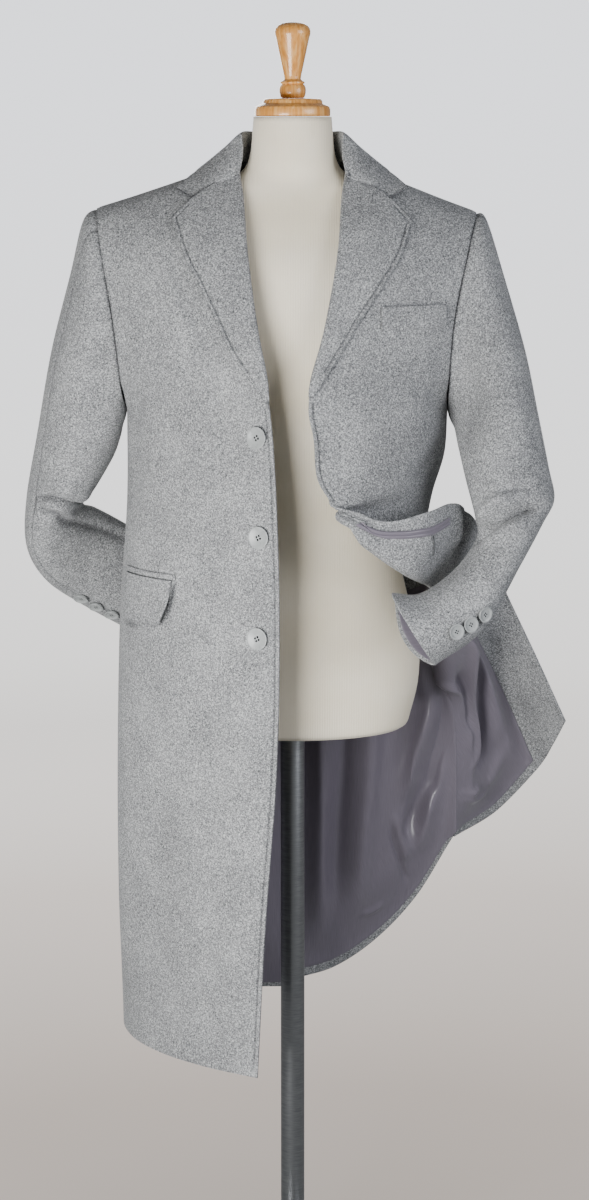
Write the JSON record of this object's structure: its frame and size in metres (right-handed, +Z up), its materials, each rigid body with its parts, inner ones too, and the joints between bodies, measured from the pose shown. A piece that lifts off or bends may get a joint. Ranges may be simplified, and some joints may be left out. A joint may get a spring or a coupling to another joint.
{
  "type": "topcoat on a dress form",
  "caption": "Single-breasted wool topcoat with notch lapels, worn open with one front swept back, on a limbless dress form with a turned wood finial and a round stand.",
  "frame": {"origin": "on the floor under the pole, at the centre of the stand's underside", "axes": "+Z up, -Y towards the coat's front, +X towards the wearer's left"},
  "size_m": [0.7374, 0.5085, 1.717],
  "materials": {
    "wool": "milled melton with a short nap, heathered light grey",
    "satin": "mauve-grey lining satin",
    "button": "semi-matt polyester",
    "jersey": "cream cotton jersey, stretched",
    "wood": "turned and varnished",
    "steel": "satin"
  },
  "bodies": {
    "root": {"front_right": "wool", "front_left": "wool", "back_right": "wool", "back_left": "wool", "sleeve_right_top": "wool", "sleeve_right_under": "wool", "sleeve_left_top": "wool", "sleeve_left_under": "wool", "collar": "wool", "lapel_right": "wool", "lapel_left": "wool", "facing_left": "wool", "lining_front_left": "satin", "lining_back_left": "satin", "lining_back_right": "satin", "cuff_lining_left": "satin", "pocket_flap_right": "wool", "pocket_jet_right": "wool", "breast_welt": "wool", "inner_pocket_welt": "satin", "button_front_1": "button", "button_front_2": "button", "button_front_3": "button", "cuff_button_right_1": "button", "cuff_button_right_2": "button", "cuff_button_right_3": "button", "cuff_button_left_1": "button", "cuff_button_left_2": "button", "cuff_button_left_3": "button", "form_torso": "jersey", "form_neck_cap": "wood", "form_finial": "wood", "stand_pole": "steel", "stand_base": "steel"}
  },
  "joints": []
}
